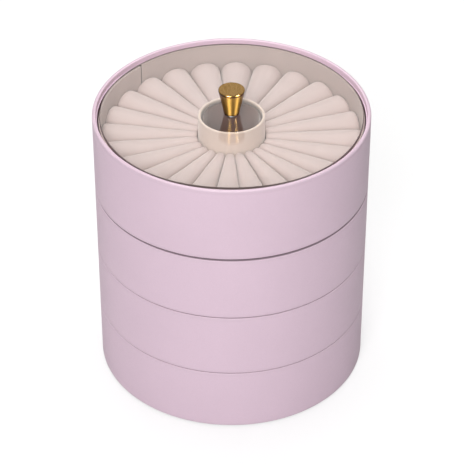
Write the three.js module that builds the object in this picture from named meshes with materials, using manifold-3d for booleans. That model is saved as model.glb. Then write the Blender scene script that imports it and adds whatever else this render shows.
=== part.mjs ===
// Round four-tier jewellery case. Four leather-covered trays are stacked on one
// off-centre pivot bolt and swing out one by one; the top tray carries a fan of
// ring rolls under a lift-off clear lid with a turned knob.
//
// Millimetres, +Z up. The origin is the centre of the footprint, on the surface
// that the case stands on. -Y is the front. The pivot is at the back left.

import * as THREE from "three";
import { mergeVertices } from "three/addons/utils/BufferGeometryUtils.js";
import Module from "manifold-3d";

const wasm = await Module();
wasm.setup();

// ---------------------------------------------------------------- dimensions

const SEG = 48; // facets round the big circles, a multiple of four
const SEG_SMALL = 16; // facets round bolts, posts and washers
const SEG_KNOB = 24;

const R_OUT = 82.5; // outside of the leather-covered walls
const R_IN = 79.3; // inside of the walls
const R_RIM = 80.2; // the top wall is thinner above the ledge round its mouth
const LEDGE = 3.6; // depth of that ledge below the rim
const R_BOARD = 79.0; // floor boards, inside the walls
const R_LIN_OUT = 78.9; // velvet lining strips
const R_LIN_IN = 77.7;
const R_PAD = 77.3; // floor pads

const PAD_FOOT = 1.0; // how far the felt foot stands proud of the bottom wall
const TRAY_PITCH = 42.3; // height of each of the three lower tiers, the lowest with its foot
const TOP_TIER = 49.0; // height of the top tier
const H_CASE = 3 * TRAY_PITCH + TOP_TIER; // 175.9, without the knob

const GAP_TIER = 0.3; // visible gap between the lower tiers
const GAP_TOP = 0.6; // the gap below the top tier is a little wider

const BOARD_UP = 0.5; // the boards sit this far above a wall's lower edge
const BOARD_T = 2.8;
const PAD_T = 1.6;
const CLEAR = 0.1; // between faces that rest on each other

const PIVOT = [-48.0, 50.4]; // bolt axis, 69.6 mm from the centre
const BOLT_R = 3.0;
const BORE_R = 3.5;
const POST_R = 7.6;

const SEAM_AZ = 135.9; // butt joint of the wall linings, beside the pivot
const SLIT = 0.5; // width of that joint

const N_ROLLS = 24;
const ROLL_AZ = 87.7; // azimuth of the first roll
const ROLL_IN = 20.7; // inner end of a roll, from the case's centre
const ROLL_OUT = 77.2;
const ROLL_TOP_IN = H_CASE - 17.3;
const ROLL_TOP_OUT = H_CASE - 14.5;
const ROLL_FLAT = H_CASE - 28.9; // underside of the rolls

const COLLAR_RO = 19.9;
const COLLAR_RI = 18.3;
const WELL_RO = 18.1;
const WELL_RI = 17.0;

const LID_T = 2.0;
const LID_TOP = H_CASE - 1.7;
const LID_R = 78.2;

const KNOB_R_TOP = 7.8;
const KNOB_R_FOOT = 4.7;
const KNOB_H = 16.4;

// ------------------------------------------------------------------- helpers

const DEG = Math.PI / 180;

function signedVolume(g) {
  const p = g.getAttribute("position"),
    ix = g.index;
  const n = ix ? ix.count : p.count;
  const a = new THREE.Vector3(),
    b = new THREE.Vector3(),
    c = new THREE.Vector3();
  let v = 0;
  for (let i = 0; i < n; i += 3) {
    const [i0, i1, i2] = ix
      ? [ix.getX(i), ix.getX(i + 1), ix.getX(i + 2)]
      : [i, i + 1, i + 2];
    a.fromBufferAttribute(p, i0);
    b.fromBufferAttribute(p, i1);
    c.fromBufferAttribute(p, i2);
    v += a.dot(b.cross(c)) / 6;
  }
  return v;
}

// A profile of [radius, height] pairs turned about +Z.
function lathe(profile, seg) {
  const make = (pts) =>
    new THREE.LatheGeometry(
      pts.map(([r, z]) => new THREE.Vector2(r, z)),
      seg,
    ).rotateX(Math.PI / 2);
  const g = make(profile);
  return signedVolume(g) < 0 ? make([...profile].reverse()) : g;
}

// A rectangular ring section with its four corners rounded or eased.
function ringProfile(ri, ro, z0, z1, r0, r1) {
  const pts = [];
  const arc = (cx, cz, r, a0, a1, n) => {
    for (let i = 0; i <= n; i++) {
      const a = (a0 + ((a1 - a0) * i) / n) * DEG;
      pts.push([cx + r * Math.cos(a), cz + r * Math.sin(a)]);
    }
  };
  arc(ro - r0, z0 + r0, r0, -90, 0, 1);
  arc(ro - r1, z1 - r1, r1, 0, 90, 2);
  arc(ri + r1 * 0.6, z1 - r1 * 0.6, r1 * 0.6, 90, 180, 1);
  pts.push([ri, z0]);
  pts.push([...pts[0]]);
  return pts;
}

// The top wall's section: as above, with a ledge cut round the mouth.
function rimProfile(ri, ro, z0, z1, r0, r1) {
  const pts = ringProfile(R_RIM, ro, z0, z1, r0, r1);
  pts.splice(-2, 2, [R_RIM, z1 - LEDGE], [ri, z1 - LEDGE], [ri, z0]);
  pts.push([...pts[0]]);
  return pts;
}

// Corners of a circle, counter-clockwise from +X.
const circle = (x, y, r, n) =>
  Array.from({ length: n }, (_, i) => {
    const a = (i * 360 * DEG) / n;
    return new THREE.Vector2(x + r * Math.cos(a), y + r * Math.sin(a));
  });

// A plate between two heights, with round holes [x, y, r] through it.
function plate(outline, z0, z1, holes = []) {
  const s = new THREE.Shape(outline);
  s.holes = holes.map(([x, y, r]) => new THREE.Path(circle(x, y, r, SEG_SMALL)));
  return new THREE.ExtrudeGeometry(s, {
    depth: z1 - z0,
    bevelEnabled: false,
  }).translate(0, 0, z0);
}

const disc = (r, z0, z1, seg, holes = []) =>
  plate(circle(0, 0, r, seg), z0, z1, holes);

// A strip bent into a ring with a small slit where its two ends meet.
function splitRing(ri, ro, z0, z1, azimuth, slit, seg) {
  const half = slit / 2 / ((ri + ro) / 2);
  const a0 = azimuth * DEG + half,
    a1 = azimuth * DEG + 2 * Math.PI - half;
  const pts = [];
  for (let i = 0; i <= seg; i++) {
    const a = a0 + ((a1 - a0) * i) / seg;
    pts.push(new THREE.Vector2(ro * Math.cos(a), ro * Math.sin(a)));
  }
  for (let i = seg; i >= 0; i--) {
    const a = a0 + ((a1 - a0) * i) / seg;
    pts.push(new THREE.Vector2(ri * Math.cos(a), ri * Math.sin(a)));
  }
  return new THREE.ExtrudeGeometry(new THREE.Shape(pts), {
    depth: z1 - z0,
    bevelEnabled: false,
  }).translate(0, 0, z0);
}

function toSolid(g) {
  const bare = new THREE.BufferGeometry().setAttribute(
    "position",
    g.getAttribute("position").clone(),
  );
  if (g.index) bare.setIndex(g.index.clone());
  const merged = mergeVertices(bare, 1e-4);
  return new wasm.Manifold(
    new wasm.Mesh({
      numProp: 3,
      vertProperties: new Float32Array(merged.attributes.position.array),
      triVerts: new Uint32Array(merged.index.array),
    }),
  );
}

function toGeometry(solid) {
  const m = solid.getMesh();
  const n = m.numProp;
  const v = new Float32Array(m.numVert * 3);
  for (let i = 0; i < m.numVert; i++)
    v.set(m.vertProperties.subarray(i * n, i * n + 3), i * 3);
  return new THREE.BufferGeometry()
    .setAttribute("position", new THREE.BufferAttribute(v, 3))
    .setIndex(new THREE.BufferAttribute(new Uint32Array(m.triVerts), 1));
}

const cut = (g, ...tools) =>
  toGeometry(tools.reduce((s, t) => s.subtract(toSolid(t)), toSolid(g)));

// A round-edged bar with its length along X, standing on z0.
function divider(length, thick, z0, z1, edge) {
  const s = new THREE.Shape();
  const h = thick / 2;
  s.moveTo(-h, 0);
  s.lineTo(h, 0);
  s.lineTo(h, z1 - z0 - edge);
  s.absarc(h - edge, z1 - z0 - edge, edge, 0, Math.PI / 2, false);
  s.absarc(-h + edge, z1 - z0 - edge, edge, Math.PI / 2, Math.PI, false);
  s.lineTo(-h, 0);
  const pts = [];
  for (const p of s.getPoints(3))
    if (!pts.length || pts[pts.length - 1].distanceTo(p) > 1e-6) pts.push(p);
  if (pts[0].distanceTo(pts[pts.length - 1]) < 1e-6) pts.pop();
  return new THREE.ExtrudeGeometry(new THREE.Shape(pts), {
    depth: length,
    bevelEnabled: false,
  })
    .translate(0, 0, -length / 2)
    .rotateX(Math.PI / 2)
    .rotateZ(Math.PI / 2)
    .translate(0, 0, z0);
}

// ----------------------------------------------------------------- materials

const mat = (color, roughness, metalness = 0, extra = {}) =>
  new THREE.MeshStandardMaterial({ color, roughness, metalness, ...extra });

const LEATHER = mat(0xdcc4d2, 0.45);
const VELVET = mat(0xe0d1ca, 0.95);
const ROLL_VELVET = mat(0xe4d6cf, 0.95);
const WELL_VELVET = mat(0x9b8c8b, 0.95);
const BOARD = mat(0xb99f86, 0.85);
const ACRYLIC = mat(0xf6f8f8, 0.05, 0, { transparent: true, opacity: 0.25 });
const BRASS = mat(0xc79a45, 0.22, 1.0);
const STEEL = mat(0xb9bcc0, 0.3, 1.0);
const NYLON = mat(0xeeeeea, 0.5);
const FELT = mat(0xcfc6c4, 0.98);

const root = new THREE.Group();

function place(parent, name, geometry, material) {
  const mesh = new THREE.Mesh(geometry, material);
  mesh.name = name;
  parent.add(mesh);
  return mesh;
}

function group(parent) {
  const g = new THREE.Group();
  parent.add(g);
  return g;
}

// --------------------------------------------------------------- tier levels

// Lower and upper edge of each tier's wall, bottom tier first.
const edge = (k) => (k === 0 ? PAD_FOOT : k * TRAY_PITCH);
const WALLS = [
  [edge(0), edge(1) - GAP_TIER / 2],
  [edge(1) + GAP_TIER / 2, edge(2) - GAP_TIER / 2],
  [edge(2) + GAP_TIER / 2, edge(3) - GAP_TOP / 2],
  [edge(3) + GAP_TOP / 2, H_CASE],
];

// Underside of the floor board; the bottom one clears the bolt's head.
const boardZ = (k) => WALLS[k][0] + BOARD_UP;
const boardTop = (k) => boardZ(k) + BOARD_T;
const padTop = (k) => boardTop(k) + CLEAR + PAD_T;
const postTop = (k) => WALLS[k][1] - 0.6;

// ----------------------------------------------------------------- the trays

// What every tier has: wall, board and velvet strip round the inside.
function tray(parent, name, k, liningTop) {
  const [z0, z1] = WALLS[k];
  place(
    parent,
    name + "_wall",
    lathe(
      k === 3
        ? rimProfile(R_IN, R_OUT, z0, z1, 0.5, 1.2)
        : ringProfile(R_IN, R_OUT, z0, z1, 0.5, 1.0),
      SEG,
    ),
    LEATHER,
  );
  if (k > 0)
    place(
      parent,
      name + "_floor_board",
      disc(R_BOARD, boardZ(k), boardTop(k), SEG, [[...PIVOT, BORE_R]]),
      BOARD,
    );
  place(
    parent,
    name + "_wall_lining",
    splitRing(
      R_LIN_IN,
      R_LIN_OUT,
      boardTop(k) + CLEAR,
      liningTop,
      SEAM_AZ,
      SLIT,
      SEG,
    ),
    VELVET,
  );
}

// The velvet pad on a lower tier's floor, cut round the pivot post.
function floorPad(parent, name, k) {
  const z0 = boardTop(k) + CLEAR;
  const round = lathe(
    [
      [0, z0 - 5],
      [POST_R + 0.5, z0 - 5],
      [POST_R + 0.5, z0 + 5],
      [0, z0 + 5],
    ],
    SEG_SMALL,
  ).translate(PIVOT[0], PIVOT[1], 0);
  place(
    parent,
    name + "_floor_pad",
    cut(disc(R_PAD, z0, z0 + PAD_T, SEG), round),
    VELVET,
  );
}

// The bushing column that the bolt runs through.
function pivotPost(parent, name, z0, z1, material, r = POST_R) {
  const post = lathe(
    [
      [BORE_R, z0],
      [r, z0],
      [r, z1 - 0.6],
      [r - 0.6, z1],
      [BORE_R, z1],
      [BORE_R, z0],
    ],
    SEG_SMALL,
  );
  place(parent, name + "_pivot_post", post, material).position.set(
    PIVOT[0],
    PIVOT[1],
    0,
  );
}

function washer(parent, name, z0, z1, ri, ro, material) {
  place(
    parent,
    name,
    lathe(
      [
        [ri, z0],
        [ro, z0],
        [ro, z1],
        [ri, z1],
        [ri, z0],
      ],
      SEG_SMALL,
    ),
    material,
  ).position.set(PIVOT[0], PIVOT[1], 0);
}

// Bottom tier, which stands still and holds the bolt.
const bottom = group(root);
tray(bottom, "bottom_tray", 0, WALLS[0][1] - 1.2);
place(
  bottom,
  "bottom_tray_floor_board",
  cut(
    disc(R_BOARD, boardZ(0), boardTop(0), SEG, [[...PIVOT, BORE_R - 0.2]]),
    lathe(
      [
        [0, boardZ(0) - 2],
        [6.9, boardZ(0) - 2],
        [6.9, boardZ(0) + 1.4],
        [0, boardZ(0) + 1.4],
      ],
      SEG_SMALL,
    ).translate(PIVOT[0], PIVOT[1], 0),
  ),
  BOARD,
);
floorPad(bottom, "bottom_tray", 0);
pivotPost(bottom, "bottom_tray", boardTop(0) + CLEAR, postTop(0), VELVET);
place(
  bottom,
  "base_felt",
  lathe(
    [
      [0, 0],
      [77.4, 0],
      [78.0, 0.6],
      [78.0, boardZ(0) - CLEAR],
      [0, boardZ(0) - CLEAR],
    ],
    SEG,
  ),
  FELT,
);

// Third tier: one straight divider across the middle.
const third = group(root);
tray(third, "third_tray", 1, WALLS[1][1] - 1.2);
floorPad(third, "third_tray", 1);
pivotPost(third, "third_tray", boardTop(1) + CLEAR, postTop(1), VELVET);
place(
  third,
  "third_tray_divider",
  divider(2 * 76.9, 3.0, padTop(1) + CLEAR, WALLS[1][1] - 3.0, 1.0),
  VELVET,
);

// Second tier: a long divider and a short one in front of it.
const second = group(root);
tray(second, "second_tray", 2, WALLS[2][1] - 1.2);
floorPad(second, "second_tray", 2);
pivotPost(second, "second_tray", boardTop(2) + CLEAR, postTop(2), VELVET);
place(
  second,
  "second_tray_long_divider",
  divider(2 * 76.9, 3.0, padTop(2) + CLEAR, WALLS[2][1] - 3.0, 1.0),
  VELVET,
);
place(
  second,
  "second_tray_short_divider",
  divider(75.1, 3.0, padTop(2) + CLEAR, WALLS[2][1] - 3.0, 1.0)
    .rotateZ(Math.PI / 2)
    .translate(0, -1.7 - 75.1 / 2, 0),
  VELVET,
);

// Top tier.
const top = group(root);
tray(top, "top_tray", 3, LID_TOP - LID_T - 0.3);
const TOP_POST = boardTop(3) + 7.0;
pivotPost(top, "top_tray", boardTop(3) + CLEAR, TOP_POST, BOARD, 6.0);

// The drum that carries the rolls: a disc with a skirt that stands on the board.
const DRUM_TOP = ROLL_FLAT - 0.1;
place(
  top,
  "ring_pad_drum",
  lathe(
    [
      [COLLAR_RO + 0.4, DRUM_TOP - 2],
      [78.0 - 1.9, DRUM_TOP - 2],
      [78.0 - 1.9, boardTop(3) + CLEAR],
      [R_PAD, boardTop(3) + CLEAR],
      [R_PAD, DRUM_TOP],
      [COLLAR_RO + 0.4, DRUM_TOP],
      [COLLAR_RO + 0.4, DRUM_TOP - 2],
    ],
    SEG,
  ),
  BOARD,
);

// The collar round the centre well, with a rolled rim just below the lid.
place(
  top,
  "center_collar",
  lathe(
    [
      [COLLAR_RI, boardTop(3) + CLEAR],
      [COLLAR_RO, boardTop(3) + CLEAR],
      [COLLAR_RO, LID_TOP - LID_T - 0.9],
      [COLLAR_RO - 0.6, LID_TOP - LID_T - 0.3],
      [COLLAR_RI + 0.4, LID_TOP - LID_T - 0.3],
      [COLLAR_RI, LID_TOP - LID_T - 0.7],
      [COLLAR_RI, boardTop(3) + CLEAR],
    ],
    32,
  ),
  ROLL_VELVET,
);
place(
  top,
  "well_floor_pad",
  lathe(
    [
      [0, boardTop(3) + CLEAR],
      [WELL_RO, boardTop(3) + CLEAR],
      [WELL_RO, boardTop(3) + CLEAR + PAD_T],
      [0, boardTop(3) + CLEAR + PAD_T],
    ],
    32,
  ),
  WELL_VELVET,
);
place(
  top,
  "well_lining",
  splitRing(
    WELL_RI,
    WELL_RO,
    boardTop(3) + 2 * CLEAR + PAD_T,
    H_CASE - 6.0,
    144,
    0.5,
    32,
  ),
  WELL_VELVET,
);

// One ring roll: a tapered pad with a round back, a flat underside and a domed
// outer end. It is a capped cylinder whose sections are reshaped along X.
function ringRoll() {
  const AROUND = 12; // points on a section
  const SECTIONS = [
    // distance from the centre, share of the full section
    [ROLL_IN, 1.0],
    [72.0, 1.0],
    [76.0, 0.85],
    [ROLL_OUT, 0.6],
  ];
  const g = new THREE.CylinderGeometry(1, 1, 1, AROUND, SECTIONS.length - 1);
  const p = g.getAttribute("position");
  const half = Math.tan((Math.PI / N_ROLLS) * 1.0);
  for (let i = 0; i < p.count; i++) {
    const x = p.getX(i),
      y = p.getY(i),
      z = p.getZ(i);
    const k = Math.round((0.5 - y) * (SECTIONS.length - 1));
    const [s, share] = SECTIONS[k];
    const full = s * half - 0.24;
    const t = (s - ROLL_IN) / (ROLL_OUT - ROLL_IN);
    const crown = ROLL_TOP_IN + (ROLL_TOP_OUT - ROLL_TOP_IN) * t;
    // On the cap's centre x and z are 0; on the rim they are cos and sin.
    const rim = Math.hypot(x, z);
    const c = rim < 1e-6 ? 0 : x / rim,
      u = rim < 1e-6 ? 0 : z / rim;
    const w = full * share;
    const topZ = crown - (1 - share) * full * 1.1;
    const centreZ = topZ - w;
    const up = u >= -1e-6 ? centreZ + w * u : centreZ + (centreZ - ROLL_FLAT) * u;
    const side = u >= -1e-6 ? w * c : w * Math.sign(c) * Math.min(1, Math.abs(c) * 2.6);
    p.setXYZ(i, s, rim < 1e-6 ? 0 : side, rim < 1e-6 ? centreZ : up);
  }
  g.deleteAttribute("normal");
  g.deleteAttribute("uv");
  if (signedVolume(g) < 0) {
    const ix = g.index.array;
    for (let i = 0; i < ix.length; i += 3) [ix[i + 1], ix[i + 2]] = [ix[i + 2], ix[i + 1]];
  }
  return g;
}
for (let i = 0; i < N_ROLLS; i++) {
  const roll = place(
    top,
    "ring_roll_" + String(i + 1).padStart(2, "0"),
    ringRoll(),
    ROLL_VELVET,
  );
  roll.rotation.z = (ROLL_AZ + (i * 360) / N_ROLLS) * DEG;
}

// -------------------------------------------------------- the pivot hardware

const NUT_Z = TOP_POST + CLEAR + 1.0 + CLEAR;
const BOLT_TOP = NUT_Z + 4.6;
const HEAD_Z = boardZ(0) + 0.1;
place(
  bottom,
  "pivot_bolt",
  lathe(
    [
      [0, HEAD_Z],
      [6.0, HEAD_Z],
      [6.5, HEAD_Z + 0.4],
      [6.5, HEAD_Z + 1.2],
      [BOLT_R, HEAD_Z + 1.2],
      [BOLT_R, BOLT_TOP - 0.5],
      [BOLT_R - 0.5, BOLT_TOP],
      [0, BOLT_TOP],
    ],
    SEG_SMALL,
  ),
  STEEL,
).position.set(PIVOT[0], PIVOT[1], 0);

// A spacer washer between each post and the board above it.
for (let k = 0; k < 3; k++)
  washer(
    bottom,
    "pivot_spacer_" + (k + 1),
    postTop(k) + CLEAR,
    boardZ(k + 1) - CLEAR,
    BOLT_R + 0.35,
    6.4,
    NYLON,
  );
washer(
  bottom,
  "pivot_nut_washer",
  TOP_POST + CLEAR,
  TOP_POST + CLEAR + 1.0,
  BOLT_R + 0.35,
  6.0,
  STEEL,
);
// A hexagon nut with a plain bore, so that it bears only on its washer.
place(
  bottom,
  "pivot_lock_nut",
  plate(circle(0, 0, 5.7, 6), NUT_Z, NUT_Z + 4.0, [[0, 0, BOLT_R + 0.35]]),
  STEEL,
).position.set(PIVOT[0], PIVOT[1], 0);

// ------------------------------------------------------------------- the lid

const lid = group(root);
const LID_Z = LID_TOP - LID_T;
place(
  lid,
  "lid_disc",
  lathe(
    [
      [4.0, LID_Z],
      [LID_R, LID_Z],
      [LID_R, LID_TOP - 0.25],
      [LID_R - 0.25, LID_TOP],
      [2.1, LID_TOP],
      [2.1, LID_Z + 1.7],
      [4.0, LID_Z],
    ],
    SEG,
  ),
  ACRYLIC,
);
const KNOB_Z = LID_TOP + CLEAR;
place(
  lid,
  "lid_knob",
  lathe(
    [
      [1.9, KNOB_Z],
      [KNOB_R_FOOT - 0.6, KNOB_Z],
      [KNOB_R_FOOT, KNOB_Z + 0.6],
      [KNOB_R_FOOT + 0.12, KNOB_Z + 1.2],
      [KNOB_R_TOP, KNOB_Z + KNOB_H - 0.9],
      [KNOB_R_TOP, KNOB_Z + KNOB_H - 0.5],
      [KNOB_R_TOP - 0.5, KNOB_Z + KNOB_H],
      [0, KNOB_Z + KNOB_H],
      [0, KNOB_Z + 9.5],
      [1.9, KNOB_Z + 9.5],
      [1.9, KNOB_Z],
    ],
    SEG_KNOB,
  ),
  BRASS,
);
place(
  lid,
  "knob_screw",
  lathe(
    [
      [0, LID_Z + 0.1],
      [3.55, LID_Z + 0.1],
      [1.6, LID_Z + 1.75],
      [1.6, KNOB_Z + 8.6],
      [1.2, KNOB_Z + 9.0],
      [0, KNOB_Z + 9.0],
    ],
    16,
  ),
  STEEL,
);

export default root;
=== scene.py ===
import math

import bmesh
import bpy
import numpy as np
from mathutils import Matrix, Vector, noise


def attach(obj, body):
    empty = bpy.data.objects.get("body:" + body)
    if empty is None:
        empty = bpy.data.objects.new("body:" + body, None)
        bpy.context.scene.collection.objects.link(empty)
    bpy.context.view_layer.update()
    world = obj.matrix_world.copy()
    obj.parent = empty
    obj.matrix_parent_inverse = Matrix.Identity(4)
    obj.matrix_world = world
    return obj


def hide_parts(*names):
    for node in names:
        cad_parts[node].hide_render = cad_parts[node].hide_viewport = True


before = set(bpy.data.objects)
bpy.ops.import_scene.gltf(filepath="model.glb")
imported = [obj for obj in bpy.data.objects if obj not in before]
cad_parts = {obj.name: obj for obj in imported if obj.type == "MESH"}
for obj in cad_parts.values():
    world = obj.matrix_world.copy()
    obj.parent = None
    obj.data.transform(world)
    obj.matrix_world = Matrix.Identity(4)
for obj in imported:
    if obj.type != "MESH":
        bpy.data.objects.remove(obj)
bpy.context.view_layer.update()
scene = bpy.context.scene
MM = 0.001
DEG = math.pi / 180

# ------------------------------------------------------------------ dimensions
# Millimetres, the same numbers as the CAD model's.
R_OUT, R_IN = 82.5, 79.3
R_RIM, LEDGE = 80.2, 3.6  # the top wall's mouth, above its ledge
R_LIN_OUT, R_LIN_IN = 78.9, 77.7
R_PAD = 77.3
PIVOT = (-48.0, 50.4)
PIVOT_AZ = math.degrees(math.atan2(PIVOT[1], PIVOT[0]))
PIVOT_D = math.hypot(*PIVOT)
SEAM_AZ = 135.9
WALLS = [(1.0, 42.15), (42.45, 84.45), (84.75, 126.6), (127.2, 175.9)]
BOARD_Z = [w[0] + 0.5 for w in WALLS]
BOARD_TOP = [z + 2.8 for z in BOARD_Z]
POST_TOP = [w[1] - 0.6 for w in WALLS]
H_CASE = 175.9
LID_TOP, LID_T, LID_R = H_CASE - 1.7, 2.0, 78.2
LID_Z = LID_TOP - LID_T
TRAYS = ["bottom_tray", "third_tray", "second_tray", "top_tray"]

# ---------------------------------------------------------------------- camera
cam_data = bpy.data.cameras.new("camera")
cam = bpy.data.objects.new("camera", cam_data)
scene.collection.objects.link(cam)
cam.location = (0.00024, -1.02126, 0.84646)
cam.rotation_euler = (math.radians(90 - 36.659), 0, 0)
cam_data.sensor_width = 36
cam_data.lens = 160.25
cam_data.clip_start, cam_data.clip_end = 0.05, 60
scene.camera = cam


# ------------------------------------------------------------ material building
class Mat:
    """A small helper that wires shader nodes."""

    def __init__(self, name):
        self.mat = bpy.data.materials.new(name)
        self.mat.use_nodes = True
        self.nt = self.mat.node_tree
        self.nt.nodes.clear()
        self.out = self.nt.nodes.new("ShaderNodeOutputMaterial")
        self.coord = self.nt.nodes.new("ShaderNodeTexCoord")

    def node(self, kind, **values):
        n = self.nt.nodes.new("ShaderNode" + kind)
        for k, v in values.items():
            if k.startswith("_"):
                setattr(n, k[1:], v)
        for k, v in values.items():
            if not k.startswith("_"):
                self.put(n.inputs[k.replace("__", " ")], v)
        return n

    def put(self, socket, v):
        if isinstance(v, bpy.types.NodeSocket):
            self.nt.links.new(v, socket)
        else:
            socket.default_value = v

    def mapped(self, scale=(1, 1, 1), rotate=(0, 0, 0), move=(0, 0, 0)):
        n = self.nt.nodes.new("ShaderNodeMapping")
        self.nt.links.new(self.coord.outputs["Object"], n.inputs["Vector"])
        n.inputs["Scale"].default_value = scale
        n.inputs["Rotation"].default_value = rotate
        n.inputs["Location"].default_value = move
        return n.outputs["Vector"]

    def noise(self, scale, detail=2.0, rough=0.5, vector=None, distortion=0.0):
        n = self.node("TexNoise", Scale=scale, Detail=detail, Roughness=rough)
        n.inputs["Distortion"].default_value = distortion
        self.nt.links.new(vector or self.coord.outputs["Object"], n.inputs["Vector"])
        return n.outputs["Fac"]

    def voronoi(self, scale, feature="F1", vector=None, randomness=1.0, smooth=0.0):
        n = self.nt.nodes.new("ShaderNodeTexVoronoi")
        n.feature = feature
        n.inputs["Scale"].default_value = scale
        n.inputs["Randomness"].default_value = randomness
        if feature == "SMOOTH_F1":
            n.inputs["Smoothness"].default_value = smooth
        self.nt.links.new(vector or self.coord.outputs["Object"], n.inputs["Vector"])
        return n.outputs["Distance"]

    def range(self, value, a, b, c, d, clamp=True):
        n = self.nt.nodes.new("ShaderNodeMapRange")
        n.clamp = clamp
        self.put(n.inputs[0], value)
        for i, v in enumerate((a, b, c, d)):
            n.inputs[i + 1].default_value = v
        return n.outputs[0]

    def math(self, op, a, b=0.0, clamp=False):
        n = self.nt.nodes.new("ShaderNodeMath")
        n.operation, n.use_clamp = op, clamp
        self.put(n.inputs[0], a)
        self.put(n.inputs[1], b)
        return n.outputs[0]

    def mix(self, fac, a, b, blend="MIX"):
        n = self.nt.nodes.new("ShaderNodeMix")
        n.data_type, n.blend_type = "RGBA", blend
        n.clamp_factor = True
        for socket, v in ((n.inputs[0], fac), (n.inputs[6], a), (n.inputs[7], b)):
            self.put(socket, v)
        return n.outputs[2]

    def attribute(self, name):
        n = self.nt.nodes.new("ShaderNodeAttribute")
        n.attribute_name = name
        return n.outputs["Fac"]

    def bump(self, height, strength, distance, below=None):
        n = self.nt.nodes.new("ShaderNodeBump")
        n.inputs["Strength"].default_value = strength
        n.inputs["Distance"].default_value = distance
        self.nt.links.new(height, n.inputs["Height"])
        if below is not None:
            self.nt.links.new(below, n.inputs["Normal"])
        return n.outputs["Normal"]

    def surface(self, **values):
        p = self.node("BsdfPrincipled", **values)
        self.nt.links.new(p.outputs[0], self.out.inputs["Surface"])
        self.shader = p
        return p


def srgb(r, g, b):
    f = lambda c: (
        c / 255 / 12.92 if c <= 10.3 else ((c / 255 + 0.055) / 1.055) ** 2.4
    )
    return (f(r), f(g), f(b), 1.0)


def scaled(c, k):
    return (c[0] * k, c[1] * k, c[2] * k, 1.0)


def leather_material(name, base, seed=0.0):
    """Coated leather: fine pebble grain, faint creasing and a satin finish."""
    m = Mat(name)
    v = m.mapped(move=(seed, seed * 0.7, seed * 1.3))
    cells = m.voronoi(1250.0, "DISTANCE_TO_EDGE", v)
    pebble = m.range(cells, 0.0, 0.22, 0.0, 1.0)
    pores = m.noise(4200.0, 2.0, 0.6, v)
    creases = m.noise(260.0, 5.0, 0.62, v, 0.4)
    tone = m.noise(22.0, 3.0, 0.5, v)
    edge = m.attribute("edge")
    colour = m.mix(m.range(tone, 0.3, 0.7, 0.0, 1.0), scaled(base, 0.975), scaled(base, 1.02))
    colour = m.mix(m.range(creases, 0.35, 0.7, 0.0, 0.25), colour, scaled(base, 0.955))
    colour = m.mix(m.range(pebble, 0.0, 1.0, 0.35, 0.0), colour, scaled(base, 0.90))
    # painted shade: the folded edges are darkened in tone, standing in for the lower light on the rounded rim and the
    # lower edges
    colour = m.mix(m.math("MULTIPLY", edge, 0.85), colour, scaled((base[0] * 0.99, base[1] * 0.99, base[2] * 0.98), 0.80))
    # painted shade: inside and between the trays the leather is darkened to a dark brown, standing in for the shade in
    # the gaps and joints
    colour = m.mix(m.attribute("inside"), colour, srgb(84, 60, 66))
    rough = m.math(
        "ADD",
        m.range(creases, 0.3, 0.7, 0.36, 0.46),
        m.math("MULTIPLY", m.range(pebble, 0.0, 1.0, 1.0, 0.0), 0.10),
    )
    rough = m.math("SUBTRACT", rough, m.math("MULTIPLY", edge, 0.05))
    n = m.bump(creases, 0.10, 0.00025)
    n = m.bump(pebble, 0.22, 0.00005, n)
    n = m.bump(pores, 0.10, 0.00002, n)
    m.surface(Base__Color=colour, Roughness=rough, Normal=n)
    p = m.shader
    p.inputs["Specular IOR Level"].default_value = 0.42
    p.inputs["Coat Weight"].default_value = 0.10
    p.inputs["Coat Roughness"].default_value = 0.30
    return m.mat


def velvet_material(name, base, seed=0.0, stretch=(1, 1, 1), nap=0.05, sheen=0.6):
    """Short-pile velvet: mottled nap, fine fibres and a soft sheen."""
    m = Mat(name)
    v = m.mapped(scale=stretch, move=(seed, seed * 1.7, seed * 0.6))
    brushed = m.noise(95.0, 4.0, 0.55, v, 0.6)
    mottle = m.noise(420.0, 3.0, 0.6, v)
    fibres = m.noise(3600.0, 3.0, 0.7, v)
    tufts = m.voronoi(2300.0, "F1", v)
    colour = m.mix(
        m.range(brushed, 0.32, 0.68, 0.0, 1.0), scaled(base, 1 - nap), scaled(base, 1 + nap * 0.6)
    )
    colour = m.mix(m.range(mottle, 0.3, 0.7, 0.0, 0.5), colour, scaled(base, 1 - nap * 0.8))
    colour = m.mix(m.range(fibres, 0.35, 0.65, 0.45, 0.0), colour, scaled(base, 0.86))
    # painted shade: where "crease" is set the velvet is darkened to a warm brown, standing in for the shade down the
    # valleys between rolls
    colour = m.mix(m.attribute("crease"), colour, scaled((base[0], base[1] * 0.88, base[2] * 0.79), 0.53))
    # painted shade: where "inside" is set a dark brown stands in for the shade in gaps and under rims
    colour = m.mix(m.attribute("inside"), colour, srgb(96, 84, 80))
    rough = m.range(brushed, 0.3, 0.7, 0.86, 0.98)
    n = m.bump(mottle, 0.18, 0.00030)
    n = m.bump(tufts, 0.30, 0.00012, n)
    n = m.bump(fibres, 0.35, 0.00010, n)
    m.surface(Base__Color=colour, Roughness=rough, Normal=n)
    p = m.shader
    p.inputs["Sheen Weight"].default_value = sheen
    p.inputs["Sheen Roughness"].default_value = 0.45
    p.inputs["Sheen Tint"].default_value = (1.0, 0.96, 0.93, 1.0)
    p.inputs["Specular IOR Level"].default_value = 0.12
    return m.mat


def board_material(name, base):
    """Papered fibreboard with a fine fibrous grain."""
    m = Mat(name)
    v = m.mapped()
    fibre = m.noise(700.0, 5.0, 0.65, v, 0.3)
    specks = m.voronoi(900.0, "F1", v)
    colour = m.mix(m.range(fibre, 0.3, 0.7, 0.0, 1.0), scaled(base, 0.88), scaled(base, 1.06))
    colour = m.mix(m.range(specks, 0.0, 0.25, 0.35, 0.0), colour, scaled(base, 0.72))
    n = m.bump(fibre, 0.25, 0.0001)
    m.surface(Base__Color=colour, Roughness=m.range(fibre, 0.3, 0.7, 0.8, 0.95), Normal=n)
    return m.mat


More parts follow.
